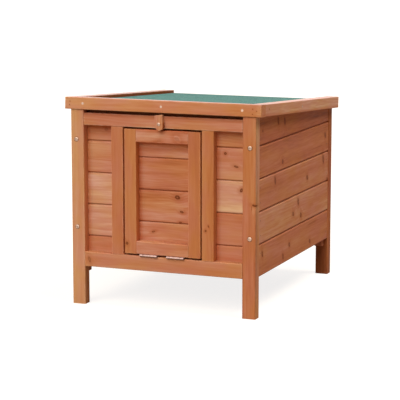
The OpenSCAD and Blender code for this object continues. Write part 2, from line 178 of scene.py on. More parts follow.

# Felt: its granules, the bitumen between them, and the darker band along its side edges
GRANULE_TONES = [
    (0.0, srgb(38, 80, 71)),
    (0.45, srgb(58, 112, 103)),
    (0.8, srgb(79, 130, 121)),
    (1.0, srgb(100, 146, 136)),
]
GRANULES_PER_METRE = 900.0
GRANULE_RIM = (0.0, 0.12)
GRANULE_ROUGHNESS = 0.2
FELT_ROUGHNESS = 0.75
FELT_SHEEN = 0.3
GREEN_SLATE = srgb(72, 120, 111)
BITUMEN = srgb(46, 72, 64)
FELT_RIM_COLOUR = srgb(58, 52, 38)
FELT_RIM_BAND = (FELT_HALF_WIDTH - 0.010, FELT_HALF_WIDTH - 0.001)
FELT_RIM_SHARE = 0.75
FELT_CLOUD_STRETCH = (22.0, 9.0, 22.0)
FELT_CLOUD_FADE = (0.25, 0.75)
FELT_CLOUD_SHARE = 0.3

# Patterns of the grain: stretch along, across and through it, detail, and where each fades in
GRAIN_PATTERNS = {
    "Streak": ((1.4, 48.0, 48.0), 4.0, 0.28, 0.72),
    "Fleck": ((26.0, 260.0, 260.0), 2.0, 0.25, 0.75),
    "Cloud": ((7.0, 16.0, 16.0), 2.0, 0.3, 0.7),
    "Pitch": ((7.0, 240.0, 240.0), 1.0, 0.7, 0.8),
    "Tint": ((11.0, 30.0, 30.0), 2.0, 0.3, 0.7),
}
GRAIN_PARTS = ("Late", "Fibre", *GRAIN_PATTERNS)
FIBRE_STRETCH = (14.0, 800.0, 800.0)
LOG_STEP = (9.0, 9.0, 9.0)

# Year rings: where the heart may lie, how the rings wander, and where the dark wood starts and ends
RINGS_PER_METRE = 260.0
HEART_START = (0.0, -0.025, 0.018)
HEART_SPREAD = (0.0, 0.05, 0.05)
WANDER_STRETCH = (2.2, 7.0, 7.0)
WANDER_SIZE = (0.0, 0.03, 0.03)
LATE_RISE = (0.15, 0.9)
LATE_FALL = (1.0, 0.9)
PLAIN_STRETCH = (4.0, 40.0, 40.0)
PLAIN_FADE = (0.35, 0.7)
PLAIN_SHARE = 0.75

# How far each part of the grain shifts the tone, and the part's usual value
GRAIN_SHIFTS = {
    "Late": (-0.13, 0.25),
    "Streak": (0.28, 0.5),
    "Cloud": (0.16, 0.5),
    "Pitch": (-0.2, 0.0),
    "Fleck": (0.12, 0.5),
    "Fibre": (0.1, 0.5),
}

# Stain: its tone on cut ends, the patches in its cast, how much knots show, its gloss and relief
CUT_END_SHIFT = -0.02
PATCHINESS = 0.9
HALO_SHARE = 0.4
CORE_SHARE = 0.85
STAIN_ROUGHNESS = 0.5
CLOUD_ROUGHNESS = 0.12
LATE_ROUGHNESS = -0.08
FIBRE_RELIEF = 0.6
LATE_RELIEF = 0.35
CORE_RELIEF = -0.4
VARNISH = 0.55
VARNISH_ROUGHNESS = 0.3

# Where the parts of a knot fade, counted in half sizes from its middle
CORE_RIM = (1.5, 1.05)
PITH_RIM = (0.85, 0.4)
HALO_RIM = (3.6, 1.3)
BEND_RIM = (4.5, 0.5)

# Outline, pith, bend and depth of a knot, and the knots strewn over boards
RAGGED_STRETCH = (260.0, 260.0, 260.0)
RAGGEDNESS = 0.7
PITH_PALENESS = 0.6
KNOT_BEND = 0.9
KNOT_DEPTH = 0.012
STRAY_SPREAD = (5.0, 15.0, 9.0)
STRAY_STEP = (7.0, 7.0, 7.0)
STRAY_SIZE = (0.0042, 0.0034, 0.05)
STRAY_BEND = 0.003
STRAY_DISORDER = 0.6

# Widths, in metres, over which the marks on a piece of wood fade, and how arrises wear unevenly
ARRIS_RIM = (0.0032, 0.0004)
WEAR_STRETCH = (90.0, 260.0, 260.0)
WEAR_FADE = (0.3, 0.65)
END_RIM = (0.0006, 0.0002)
FACE_RIM = (0.0012, 0.0004)
# Bands of painted shade along an upper or a lower edge, and of painted red shade beside a post and
# under a rail
SHADE_EDGE_BAND = (0.008, 0.0)
RED_SHADE_BESIDE = (0.010, 0.0)
RED_SHADE_BELOW = (0.017, 0.003)
JOINT_RIM = (BOARD_PITCH / 2 - 0.0042, BOARD_PITCH / 2 - 0.0012)
SCAR_SHIFT = 0.26
BOARD_SEED_STEP = 7.31


class Graph:
    """Adds nodes to a tree. A value is a number, a tuple or another node's socket."""

    def __init__(self, tree):
        self.tree = tree

    def feed(self, socket, value):
        if isinstance(value, bpy.types.NodeSocket):
            self.tree.links.new(value, socket)
        else:
            socket.default_value = value

    def node(self, kind, inputs=(), **settings):
        made = self.tree.nodes.new("ShaderNode" + kind)
        for name, value in settings.items():
            setattr(made, name, value)
        for key, value in dict(inputs).items():
            self.feed(made.inputs[key], value)
        return made

    def group(self, tree, **inputs):
        return self.node("Group", inputs, node_tree=tree).outputs

    def math(self, operation, *values, clamp=False):
        made = self.node("Math", enumerate(values), operation=operation, use_clamp=clamp)
        return made.outputs[0]

    def vector(self, operation, *values):
        made = self.node("VectorMath", enumerate(values), operation=operation)
        return made.outputs["Value" if operation in ("LENGTH", "DOT_PRODUCT") else "Vector"]

    def split(self, vector):
        return self.node("SeparateXYZ", {"Vector": vector}).outputs

    def join(self, x, y, z):
        return self.node("CombineXYZ", {"X": x, "Y": y, "Z": z}).outputs[0]

    def smooth(self, value, low, high):
        """0 at low, 1 at high, with soft ends."""
        sockets = {"Value": value, "From Min": low, "From Max": high}
        return self.node("MapRange", sockets, interpolation_type="SMOOTHSTEP").outputs[0]

    def noise(self, point, stretch, detail=2.0, output="Fac"):
        stretched = self.vector("MULTIPLY", point, stretch)
        sockets = {"Vector": stretched, "Scale": 1.0, "Detail": detail}
        return self.node("TexNoise", sockets).outputs[output]

    def chance(self, seed):
        """Three random numbers that belong to a seed."""
        made = self.node("TexWhiteNoise", {"W": seed}, noise_dimensions="1D")
        return made.outputs["Color"]

    def mix(self, factor, a, b, blend="MIX"):
        made = self.node("Mix", {0: factor, 6: a, 7: b}, data_type="RGBA", blend_type=blend)
        return made.outputs[2]

    def tint(self, colour, cast):
        return self.mix(1.0, colour, cast, "MULTIPLY")

    def ramp(self, factor, stops, interpolation="LINEAR"):
        made = self.node("ValToRGB", {"Fac": factor})
        made.color_ramp.interpolation = interpolation
        elements = made.color_ramp.elements
        while len(elements) < len(stops):
            elements.new(1.0)
        for element, (place, colour) in zip(elements, stops):
            element.position = place
            element.color = colour
        return made.outputs["Color"]


def floats(*names):
    return [(name, "Float") for name in names]


def new_group(name, inputs, outputs):
    """A shader node group: its graph, its inputs and its outputs."""
    tree = bpy.data.node_groups.new(name, "ShaderNodeTree")
    for way, sockets in (("INPUT", inputs), ("OUTPUT", outputs)):
        for label, kind in sockets:
            tree.interface.new_socket(label, in_out=way, socket_type="NodeSocket" + kind)
    given = tree.nodes.new("NodeGroupInput").outputs
    result = tree.nodes.new("NodeGroupOutput").inputs
    return Graph(tree), given, result


def late_wood(g, given, chance, place):
    """The dark part of each year ring, round a heart somewhere near the piece."""
    heart = g.vector("MULTIPLY_ADD", chance, HEART_SPREAD, HEART_START)
    wander = g.noise(place, WANDER_STRETCH, output="Color")
    wander = g.vector("SUBTRACT", wander, (0.5, 0.5, 0.5))
    away = g.vector("SUBTRACT", given["Point"], heart)
    away = g.vector("MULTIPLY_ADD", wander, WANDER_SIZE, away)
    radius = g.vector("LENGTH", g.vector("MULTIPLY", away, (0.0, 1.0, 1.0)))
    radius = g.math("ADD", radius, given["Warp"])
    ring = g.math("FRACT", g.math("MULTIPLY", radius, RINGS_PER_METRE))
    late = g.math("MULTIPLY", g.smooth(ring, *LATE_RISE), g.smooth(ring, *LATE_FALL))
    plain = g.smooth(g.noise(place, PLAIN_STRETCH), *PLAIN_FADE)
    shown = g.math("MULTIPLY_ADD", plain, PLAIN_SHARE, 1.0 - PLAIN_SHARE)
    return g.math("MULTIPLY", late, shown)


def make_fir_grain():
    """Year rings, streaks and fibres of a piece sawn from a log.

    Point starts at the middle of the piece, the grain runs along X, and Warp bends the rings.
    """
    g, given, result = new_group(
        "fir_grain",
        [("Point", "Vector"), *floats("Seed", "Warp")],
        floats(*GRAIN_PARTS),
    )
    chance = g.chance(given["Seed"])
    place = g.vector("MULTIPLY_ADD", chance, LOG_STEP, given["Point"])
    g.feed(result["Late"], late_wood(g, given, chance, place))
    g.feed(result["Fibre"], g.noise(place, FIBRE_STRETCH))
    for name, (stretch, detail, low, high) in GRAIN_PATTERNS.items():
        g.feed(result[name], g.smooth(g.noise(place, stretch, detail), low, high))
    return g.tree


def ragged_distance(g, point, away):
    """How many half sizes a point is from a knot's middle, with an uneven outline."""
    ragged = g.noise(point, RAGGED_STRETCH)
    return g.math("MULTIPLY_ADD", ragged, RAGGEDNESS, g.vector("LENGTH", away))


def make_fir_knot():
    """One knot, added to the ones before it.

    Size is its half size along, across and through the grain.
    """
    g, given, result = new_group(
        "fir_knot",
        [("Point", "Vector"), ("Centre", "Vector"), ("Size", "Vector"),
         *floats("Lean", "Strength", "Core", "Halo", "Warp")],
        floats("Core", "Halo", "Warp"),
    )
    away = g.split(g.vector("SUBTRACT", given["Point"], given["Centre"]))
    leant = g.math("MULTIPLY_ADD", away["Y"], given["Lean"], away["X"])
    away = g.vector("DIVIDE", g.join(leant, away["Y"], away["Z"]), given["Size"])
    away = ragged_distance(g, given["Point"], away)
    solid = g.math("MULTIPLY_ADD", g.smooth(away, *PITH_RIM), -PITH_PALENESS, 1.0)
    core = g.math("MULTIPLY", g.smooth(away, *CORE_RIM), solid)
    core = g.math("MULTIPLY", core, given["Strength"])
    halo = g.math("MULTIPLY", g.smooth(away, *HALO_RIM), given["Strength"])
    bend = g.math("MULTIPLY", g.split(given["Size"])["Y"], KNOT_BEND)
    bend = g.math("MULTIPLY", bend, g.smooth(away, *BEND_RIM))
    g.feed(result["Core"], g.math("MAXIMUM", core, given["Core"]))
    g.feed(result["Halo"], g.math("MAXIMUM", halo, given["Halo"]))
    g.feed(result["Warp"], g.math("ADD", bend, given["Warp"]))
    return g.tree


def make_stray_knots():
    """Knots strewn over boards. Share is how many of the places hold one."""
    g, given, result = new_group(
        "stray_knots",
        [("Point", "Vector"), *floats("Seed", "Share")],
        floats("Core", "Halo", "Warp"),
    )
    spread = g.vector("MULTIPLY", given["Point"], STRAY_SPREAD)
    place = g.vector("MULTIPLY_ADD", g.chance(given["Seed"]), STRAY_STEP, spread)
    sockets = {"Vector": place, "Scale": 1.0, "Randomness": STRAY_DISORDER}
    cells = g.node("TexVoronoi", sockets).outputs
    away = g.vector("DIVIDE", g.vector("SUBTRACT", place, cells["Position"]), STRAY_SPREAD)
    away = ragged_distance(g, given["Point"], g.vector("DIVIDE", away, STRAY_SIZE))
    held = g.math("LESS_THAN", g.split(cells["Color"])["X"], given["Share"])
    bend = g.math("MULTIPLY", g.smooth(away, *BEND_RIM), STRAY_BEND)
    g.feed(result["Core"], g.math("MULTIPLY", held, g.smooth(away, *CORE_RIM)))
    g.feed(result["Halo"], g.math("MULTIPLY", held, g.smooth(away, *HALO_RIM)))
    g.feed(result["Warp"], g.math("MULTIPLY", held, bend))
    return g.tree


def make_cut_edges():
    """Arrises, cut ends and narrow sides of a squared piece, from its box.

    The grain runs along X.
    """
    g, given, result = new_group(
        "cut_edges",
        [("Point", "Vector"), ("Centre", "Vector"), ("Half", "Vector")],
        floats("Arris", "End", "Flank"),
    )
    inside = g.vector("ABSOLUTE", g.vector("SUBTRACT", given["Point"], given["Centre"]))
    inside = g.split(g.vector("SUBTRACT", given["Half"], inside))
    along, across, through = inside["X"], inside["Y"], inside["Z"]
    lower = g.math("MINIMUM", across, through)
    upper = g.math("MAXIMUM", across, through)
    middle = g.math("MAXIMUM", lower, g.math("MINIMUM", upper, along))
    uneven = g.smooth(g.noise(given["Point"], WEAR_STRETCH), *WEAR_FADE)
    g.feed(result["Arris"], g.math("MULTIPLY", g.smooth(middle, *ARRIS_RIM), uneven))
    g.feed(result["End"], g.smooth(along, *END_RIM))
    g.feed(result["Flank"], g.smooth(across, *FACE_RIM))
    return g.tree


def stain_tone(g, given):
    """The tone with the grain, the worn arrises and the cut ends."""
    figure = 0.0
    for name, (shift, usual) in GRAIN_SHIFTS.items():
        part = g.math("MULTIPLY_ADD", given[name], shift, -shift * usual)
        figure = g.math("ADD", figure, part)
    tone = g.math("MULTIPLY_ADD", figure, given["Figure"], given["Tone"])
    tone = g.math("MULTIPLY_ADD", given["Arris"], given["Worn"], tone)
    return g.math("MULTIPLY_ADD", given["End"], CUT_END_SHIFT, tone)


def stain_colour(g, given, tone):
    """The colour of a tone, with its cast, the knots, the painted red shade, and the pooled stain,
    which is partly painted shade.
    """
    colour = g.ramp(tone, STAIN_TONES)
    patchy = g.math("MULTIPLY_ADD", given["Tint"], PATCHINESS, -PATCHINESS / 2)
    golden = g.math("ADD", given["Amber"], patchy, clamp=True)
    colour = g.tint(colour, g.mix(golden, ROSY_CAST, GOLDEN_CAST))
    colour = g.tint(colour, g.mix(given["Nook"], WHITE, RED_SHADE_CAST))
    colour = g.mix(g.math("MULTIPLY", given["Halo"], HALO_SHARE), colour, KNOT_HALO)
    colour = g.mix(g.math("MULTIPLY", given["Core"], CORE_SHARE), colour, KNOT_CORE)
    return g.mix(given["Groove"], colour, POOLED_STAIN_AND_SHADE)


def make_fir_stain():
    """The translucent stain on fir.

    Tone runs from 0, deep, to 1, pale, and Amber from 0, rosy, to 1, golden. Figure is how
    strongly the grain shows, Worn the shift of tone on arrises. The pooled input lays pooled stain
    and painted shade, and the red input lays the red cast of painted shade where shade falls.
    """
    g, given, result = new_group(
        "fir_stain",
        floats(*GRAIN_PARTS, "Core", "Halo", "Arris", "End", "Groove", "Nook",
               "Tone", "Figure", "Worn", "Amber"),
        [("Color", "Color"), *floats("Roughness", "Height")],
    )
    g.feed(result["Color"], stain_colour(g, given, stain_tone(g, given)))
    rough = g.math("MULTIPLY_ADD", given["Cloud"], CLOUD_ROUGHNESS, STAIN_ROUGHNESS)
    rough = g.math("MULTIPLY_ADD", given["Late"], LATE_ROUGHNESS, rough)
    g.feed(result["Roughness"], rough)
    height = g.math("MULTIPLY", given["Late"], LATE_RELIEF)
    height = g.math("MULTIPLY_ADD", given["Fibre"], FIBRE_RELIEF, height)
    g.feed(result["Height"], g.math("MULTIPLY_ADD", given["Core"], CORE_RELIEF, height))
    return g.tree


def make_zinc_film():
    """Zinc plating: a dull bright film with cloudy spangle and fine scratches."""
    g, given, result = new_group(
        "zinc_film",
        [("Point", "Vector")],
        [("Color", "Color"), *floats("Roughness", "Height")],
    )
    cloud = g.smooth(g.noise(given["Point"], SPANGLE_STRETCH, 3.0), *SPANGLE_FADE)
    g.feed(result["Color"], g.mix(cloud, DULL_ZINC, BRIGHT_ZINC))
    rough = g.math("MULTIPLY_ADD", cloud, SPANGLE_ROUGHNESS, ZINC_ROUGHNESS)
    g.feed(result["Roughness"], rough)
    g.feed(result["Height"], g.noise(given["Point"], SCRATCH_STRETCH))
    return g.tree


def make_felt_granules():
    """Slate granules pressed into roofing felt, with the dark bitumen showing between them."""
    g, given, result = new_group(
        "felt_granules",
        [("Point", "Vector")],
        [("Color", "Color"), *floats("Roughness", "Height")],
    )
    sockets = {"Vector": given["Point"], "Scale": GRANULES_PER_METRE}
    cells = g.node("TexVoronoi", sockets).outputs
    edge = g.node("TexVoronoi", sockets, feature="DISTANCE_TO_EDGE").outputs[0]
    granule = g.split(cells["Color"])["X"]
    bed = g.smooth(edge, *GRANULE_RIM)
    shown = g.math("MULTIPLY_ADD", bed, 0.5, 0.5)
    colour = g.mix(shown, BITUMEN, g.ramp(granule, GRANULE_TONES))
    cloud = g.smooth(g.noise(given["Point"], FELT_CLOUD_STRETCH, 3.0), *FELT_CLOUD_FADE)
    cloud = g.math("MULTIPLY", cloud, FELT_CLOUD_SHARE)
    g.feed(result["Color"], g.mix(cloud, colour, GREEN_SLATE))
    rough = g.math("MULTIPLY_ADD", granule, GRANULE_ROUGHNESS, FELT_ROUGHNESS)
    g.feed(result["Roughness"], rough)
    height = g.math("MULTIPLY", bed, g.math("MULTIPLY_ADD", granule, 0.5, 0.5))
    g.feed(result["Height"], height)
    return g.tree


FIR_GRAIN = make_fir_grain()
FIR_KNOT = make_fir_knot()
STRAY_KNOTS = make_stray_knots()
CUT_EDGES = make_cut_edges()
FIR_STAIN = make_fir_stain()
ZINC_FILM = make_zinc_film()
FELT_GRANULES = make_felt_granules()


def new_material(name):
    """A material with its Principled shader: its graph and the shader."""
    material = bpy.data.materials.new(name)
    material.use_nodes = True
    graph = Graph(material.node_tree)
    return material, graph, material.node_tree.nodes["Principled BSDF"]


def bump(g, shader, height, distance, strength):
    made = g.node("Bump", {"Height": height, "Distance": distance, "Strength": strength})
    g.feed(shader.inputs["Normal"], made.outputs[0])


def dress(node, material):
    for slot in nodes[node].material_slots:
        slot.material = material


class Fir:
    """Stained fir on one node. Each call adds one mark, and stain() finishes the material.

    axis is the one that the grain runs along. tone is a number from 0, deep, to 1, pale, or a list
    with one for each board of a row. seed picks the log, and tilt is the slope of a roof piece.
    """

    def __init__(self, node, axis, tone, seed, tilt=0.0):
        self.node, self.axis, self.tone, self.seed = node, axis, tone, seed
        self.material, self.g, self.shader = new_material("fir_" + node)
        self.turn = Matrix.Rotation(tilt, 3, "X")
        self.point = self.grain_point(tilt)
        place = self.g.split(self.point)
        self.along, self.across, self.through = place["X"], place["Y"], place["Z"]
        self.centre, self.half = self.grain_box()
        self.middle = self.centre
        self.edges = self.g.group(
            CUT_EDGES, Point=self.point, Centre=self.centre, Half=self.half)
        self.found = {"Core": 0.0, "Halo": 0.0, "Warp": 0.0}
        self.stain_pool_and_shade = 0.0
        self.red_shade_mask = 0.0

    def by_grain(self, values):
        return tuple(values[i] for i in GRAIN_AXES[self.axis])

    def grain_point(self, tilt):
        """Object coordinates with the grain along X, turned back by the piece's slope."""
        point = self.g.node("TexCoord").outputs["Object"]
        if tilt:
            sockets = {"Vector": point, "Rotation": (tilt, 0.0, 0.0)}
            point = self.g.node("Mapping", sockets).outputs[0]
        return self.g.join(*self.by_grain(self.g.split(point)))

    def grain_box(self):
        """Centre and half size of the node's box, by its grain."""
        points = [self.turn @ v.co for v in nodes[self.node].data.vertices]
        low = [min(p[i] for p in points) for i in range(3)]
        high = [max(p[i] for p in points) for i in range(3)]
        centre = [(a + b) / 2 for a, b in zip(low, high)]
        half = [(b - a) / 2 for a, b in zip(low, high)]
        return self.by_grain(centre), self.by_grain(half)

    def shift(self, mask, amount):
        self.tone = self.g.math("MULTIPLY_ADD", mask, amount, self.tone)
        return self

    def below_top(self):
        return self.g.math("SUBTRACT", self.centre[1] + self.half[1], self.across)

    def boards(self, joint, joint_pool_and_shade=0.0, upright=True):
        """A row of boards, upright or lying flat, that begins one board before the joint.

        Each has its own tone and log. The pooled share darkens the downward facet of their V
        joints, with stain that has run in and with painted shade.
        """
        g, tones = self.g, self.tone
        place = self.across if upright else self.through
        start = joint - BOARD_PITCH
        index = g.math("FLOOR", g.math("DIVIDE", g.math("SUBTRACT", place, start), BOARD_PITCH))
        middle = g.math("MULTIPLY_ADD", index, BOARD_PITCH, start + BOARD_PITCH / 2)
        stops = [(i / len(tones), (tone, tone, tone, 1.0)) for i, tone in enumerate(tones)]
        share = g.math("DIVIDE", g.math("ADD", index, 0.5), len(tones))
        self.tone = g.ramp(share, stops, "CONSTANT")
        self.seed = g.math("MULTIPLY_ADD", index, BOARD_SEED_STEP, self.seed)
        if upright:
            self.middle = g.join(0.0, middle, self.centre[2])
        else:
            self.middle = g.join(0.0, self.centre[1], middle)
        if joint_pool_and_shade:
            near = g.smooth(g.math("SUBTRACT", middle, place), *JOINT_RIM)
            self.stain_pool_and_shade = g.math("MULTIPLY", near, joint_pool_and_shade)
        return self

    def strew_knots(self, share):
        made = self.g.group(STRAY_KNOTS, Point=self.point, Seed=self.seed, Share=share)
        self.found = {key: made[key] for key in self.found}
        return self

    def mark(self, place, shape, **before):
        """A mark shaped like a knot, at a place on the node."""
        centre = self.by_grain(self.turn @ Vector(place))
        return self.g.group(FIR_KNOT, Point=self.point, Centre=centre, **shape, **before)

    def knots(self, *knots):
        for place, shape in knots:
            made = self.mark(place, shape, **self.found)
            self.found = {key: made[key] for key in self.found}
        return self

    def rings(self, *rings):
        """Dark rims, which don't bend the grain, round screw heads."""
        for place, shape in rings:
            self.found["Core"] = self.mark(place, shape, Core=self.found["Core"])["Core"]
        return self

    def scar(self, place, shape):
        """A pale place beside a knot or at a corner."""
        return self.shift(self.mark(place, shape)["Halo"], SCAR_SHIFT)

    def drift(self, along=0.0, through=0.0):
        """Tone that changes evenly along the piece, or through it."""
        slope = (along / self.half[0], 0.0, through / self.half[2])
        run = self.g.vector("SUBTRACT", self.point, self.centre)
        self.tone = self.g.math("ADD", self.tone, self.g.vector("DOT_PRODUCT", run, slope))
        return self

    def flank_light_and_shade(self, tone=0.0, red_shade=0.0):
        """Painted light or shade on the narrow sides, as a shift of tone, and painted red shade on
        them.
        """
        if red_shade:
            self.red_shade_mask = self.g.math("MULTIPLY", self.edges["Flank"], red_shade)
        return self.shift(self.edges["Flank"], tone) if tone else self

    def red_shade_corner(self, post, rail):
        """Painted red shade on boards, to the right of a post and under a rail, where shade falls.
        """
        g = self.g
        post_side, rail_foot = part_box(post)[1][0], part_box(rail)[0][2]
        beside = g.smooth(g.math("SUBTRACT", self.along, post_side), *RED_SHADE_BESIDE)
        below = g.smooth(g.math("SUBTRACT", rail_foot, self.across), *RED_SHADE_BELOW)
        self.red_shade_mask = g.math("MAXIMUM", beside, below)
        return self

    def pool(self, amount):
        """The pooled stain's colour all over the piece, as painted shade on pieces seen only in
        shadowed gaps.
        """
        self.stain_pool_and_shade = amount
        return self

    def shade_upper_edge(self, amount):
        """Painted shade along the upper edge, in the pooled stain's colour."""
        band = self.g.smooth(self.below_top(), *SHADE_EDGE_BAND)
        self.stain_pool_and_shade = self.g.math("MULTIPLY", band, amount)
        return self

    def shade_lower_edge(self, amount):
        """Painted shade: a darker band along the lower edge."""
        over = self.g.math("SUBTRACT", self.across, self.centre[1] - self.half[1])
        return self.shift(self.g.smooth(over, *SHADE_EDGE_BAND), -amount)

    def crest(self, tone):
        """The upper face is varnished, and its shift of tone is painted shade against the strong
        light on top.
        """
        upper = self.g.smooth(self.below_top(), *FACE_RIM)
        self.g.feed(self.shader.inputs["Coat Weight"], self.g.math("MULTIPLY", upper, VARNISH))
        self.shader.inputs["Coat Roughness"].default_value = VARNISH_ROUGHNESS
        return self.shift(upper, tone)

    def stain(self, figure=1.0, amber=0.4, worn=0.12, sheen=0.02):
        """Lays the stain over the grain and the marks.

        figure is the strength of the grain, amber the stain's cast, worn the shift of tone on
        arrises, sheen the gloss.
        """
        g, shader = self.g, self.shader
        sawn = g.vector("SUBTRACT", self.point, self.middle)
        grain = g.group(FIR_GRAIN, Point=sawn, Seed=self.seed, Warp=self.found["Warp"])
        stain = g.group(
            FIR_STAIN, **{name: grain[name] for name in GRAIN_PARTS},
            Core=self.found["Core"], Halo=self.found["Halo"],
            Arris=self.edges["Arris"], End=self.edges["End"],
            Groove=self.stain_pool_and_shade, Nook=self.red_shade_mask,
            Tone=self.tone, Figure=figure, Worn=worn, Amber=amber,
        )
        g.feed(shader.inputs["Base Color"], stain["Color"])
        g.feed(shader.inputs["Roughness"], stain["Roughness"])
        shader.inputs["Specular IOR Level"].default_value = sheen
        bump(g, shader, stain["Height"], *WOOD_RELIEF)
        dress(self.node, self.material)


def knot(x, y, z, across, along=1.2, lean=0.0, strength=1.0):
    """A knot at a place.

    across is its half size across the grain, along its length as a share of that.
    """
    size = (across * along, across, KNOT_DEPTH)
    return (x, y, z), {"Size": size, "Lean": lean, "Strength": strength}


def screw_rings(side, y):
    """Dark rims round the heads of the two screws in a leg."""
    return [knot(side * LEG_SCREW_X, y, z, LEG_SCREW_RING, 1.0) for z in LEG_SCREW_HEIGHTS]


def paint_legs():
    (Fir("leg_front_left", "Z", 0.73, 3603)
     .rings(*screw_rings(-1, FRONT_Y))
     .flank_light_and_shade(red_shade=0.7)
     .stain(figure=0.45, amber=0.62))
    (Fir("leg_front_right", "Z", 0.46, 2108)
     .knots(knot(0.1992, FRONT_Y, 0.2308, 0.0054, 0.45, 0.15),
            knot(0.1931, FRONT_Y, 0.2250, 0.0007, 7.0, 0.0, 0.6),
            # A long thin dark line along the right arris
            knot(0.2017, FRONT_Y, 0.2000, 0.0007, 330.0, 0.0, 0.3))
     .rings(*screw_rings(1, FRONT_Y))
     .scar(*knot(0.1978, FRONT_Y, 0.2210, 0.0017, 2.4, -0.4, 0.6))
     .drift(along=0.06)
     # Its narrow sides are painted paler, as painted light
     .flank_light_and_shade(0.29)
     .stain(figure=0.9, amber=0.55, worn=-0.15))
    (Fir("leg_rear_left", "Z", 0.50, 21)
     .strew_knots(0.2)
     .rings(*screw_rings(-1, REAR_Y))
     .stain(figure=0.6))
    # The rear right leg's deep tone is painted shade, for the shade it stands in under the hutch
    (Fir("leg_rear_right", "Z", 0.15, 3634)
     .rings(*screw_rings(1, REAR_Y))
     .stain(figure=0.6))


def paint_front_frame():
    (Fir("rail_front_top", "X", 0.51, 3341)
     .drift(along=-0.05)
     .shade_upper_edge(0.5)
     .stain(figure=0.85, amber=0.25, worn=0.3))
    (Fir("rail_front_bottom", "X", 0.57, 1247)
     .knots(knot(-0.1632, FRAME_FACE_Y, 0.0953, 0.0062, 0.55, 0.2, 0.55))
     .stain(figure=0.6, amber=0.5))
    # Its narrow sides are painted paler, as painted light in the gap beside the door, with painted
    # red shade
    (Fir("jamb_left", "Z", 0.47, 1261)
     .flank_light_and_shade(0.35, red_shade=1.0)
     .stain(figure=0.45, amber=0.5))
    (Fir("jamb_right", "Z", 0.49, 666)
     .knots(knot(0.0950, FRAME_FACE_Y, 0.1730, 0.0022, 1.0),
            knot(0.1010, FRAME_FACE_Y, 0.1825, 0.0018, 1.2, 0.6))
     .flank_light_and_shade(0.12, red_shade=0.5)
     .stain(figure=0.6, amber=0.9))


def paint_front_boards():
    (Fir("boards_front_left", "X", [0.62, 0.82, 0.86, 0.69, 0.51], 71)
     .boards(FRONT_JOINT_Z, joint_pool_and_shade=0.3)
     # A soft dark patch near the top board's right end, under the rail
     .knots(knot(-0.1310, INFILL_FACE_Y, 0.3660, 0.0040, 1.0, 0.0, 0.35))
     .red_shade_corner("leg_front_left", "rail_front_top")
     .stain(figure=0.85, amber=0.2))
    (Fir("boards_front_right", "X", [0.5, 0.52, 0.85, 0.63, 0.65], 676)
     .boards(FRONT_JOINT_Z, joint_pool_and_shade=0.3)
     .knots(knot(0.1301, INFILL_FACE_Y, 0.3292, 0.0030, 1.0),
            knot(0.1536, INFILL_FACE_Y, 0.3038, 0.0026, 1.9, 0.9),
            knot(0.1647, INFILL_FACE_Y, 0.2571, 0.0042, 0.9, -0.3))
     .red_shade_corner("jamb_right", "rail_front_top")
     .stain(figure=0.75, amber=0.32))


def paint_door():
    (Fir("door_stile_left", "Z", 0.51, 1351)
     .knots(knot(-0.0776, FRAME_FACE_Y, 0.1353, 0.003))
     .flank_light_and_shade(red_shade=0.7)
     .stain(figure=0.5, amber=0.75))
    # Its narrow sides are painted paler, as painted light in the gap beside it, with painted red
    # shade
    (Fir("door_stile_right", "Z", 0.38, 1056)
     .flank_light_and_shade(0.45, red_shade=1.0)
     .stain(figure=0.5, amber=0.6))
    (Fir("door_rail_top", "X", 0.66, 761)
     .knots(knot(0.0331, FRAME_FACE_Y, 0.3555, 0.0040, 1.4, 0.4, 0.25),
            knot(-0.0060, FRAME_FACE_Y, 0.3500, 0.0030, 1.8, -0.4, 0.2))
     .flank_light_and_shade(red_shade=1.0)
     .stain(figure=1.6, amber=-0.2))
    Fir("door_rail_bottom", "X", 0.53, 766).stain()
    (Fir("door_boards", "X", [0.67, 0.49, 0.50, 0.65, 0.5], 2271)
     .boards(DOOR_JOINT_Z, joint_pool_and_shade=0.3)
     .knots(knot(0.0270, DOOR_BOARD_FACE_Y, 0.2342, 0.0048, 1.3, 0.2),
            knot(0.0364, DOOR_BOARD_FACE_Y, 0.2048, 0.0026, 1.5, 0.5),
            knot(0.0337, DOOR_BOARD_FACE_Y, 0.1835, 0.0016, 2.4),
            knot(-0.0260, DOOR_BOARD_FACE_Y, 0.1605, 0.0022, 1.6, -0.8, 0.8))
     .red_shade_corner("door_stile_left", "door_rail_top")
     .stain(figure=1.2, amber=0.25))
    # Its narrow sides are painted darker, as painted shade
    Fir("turn_button", "Z", 0.74, 181).flank_light_and_shade(-0.55).stain(amber=0.3)


# Pin holes near the corners of the roof's front member
PIN_HOLES = [
    (0.1954, 0.4227), (0.2036, 0.4187), (0.1953, 0.4127), (-0.2020, 0.4230), (-0.2030, 0.4157),
]


def paint_roof_frame():
    (Fir("roof_front", "X", 0.67, 2891, ROOF_SLOPE)
     .knots(*(knot(x, ROOF_FACE_Y, z, 0.0009, 1.0) for x, z in PIN_HOLES))
     .scar(*knot(0.2080, ROOF_FACE_Y, 0.4190, 0.0060, 0.45, 0.0, 0.5))
     .drift(along=-0.14)
     .shade_lower_edge(0.18)
     .crest(-0.5)
     .stain(figure=0.7, amber=0.65, worn=0.2, sheen=0.03))
    (Fir("roof_side_left", "Y", 0.35, 196, ROOF_SLOPE)
     # Painted shade: the inner face is made darker and the outer face paler
     .drift(through=-0.35)
     .crest(-0.3)
     .stain(amber=0.6, worn=0.5, sheen=0.03))
    (Fir("roof_side_right", "Y", 0.80, 2901, ROOF_SLOPE)
     .knots(knot(ROOF_FACE_X, -0.2030, 0.4185, 0.0012, 1.0))
     .shade_lower_edge(0.35)
     .crest(-0.55)
     .stain(amber=0.45, worn=0.05, sheen=0.03))
    Fir("roof_rear", "X", 0.45, 206, ROOF_SLOPE).stain()


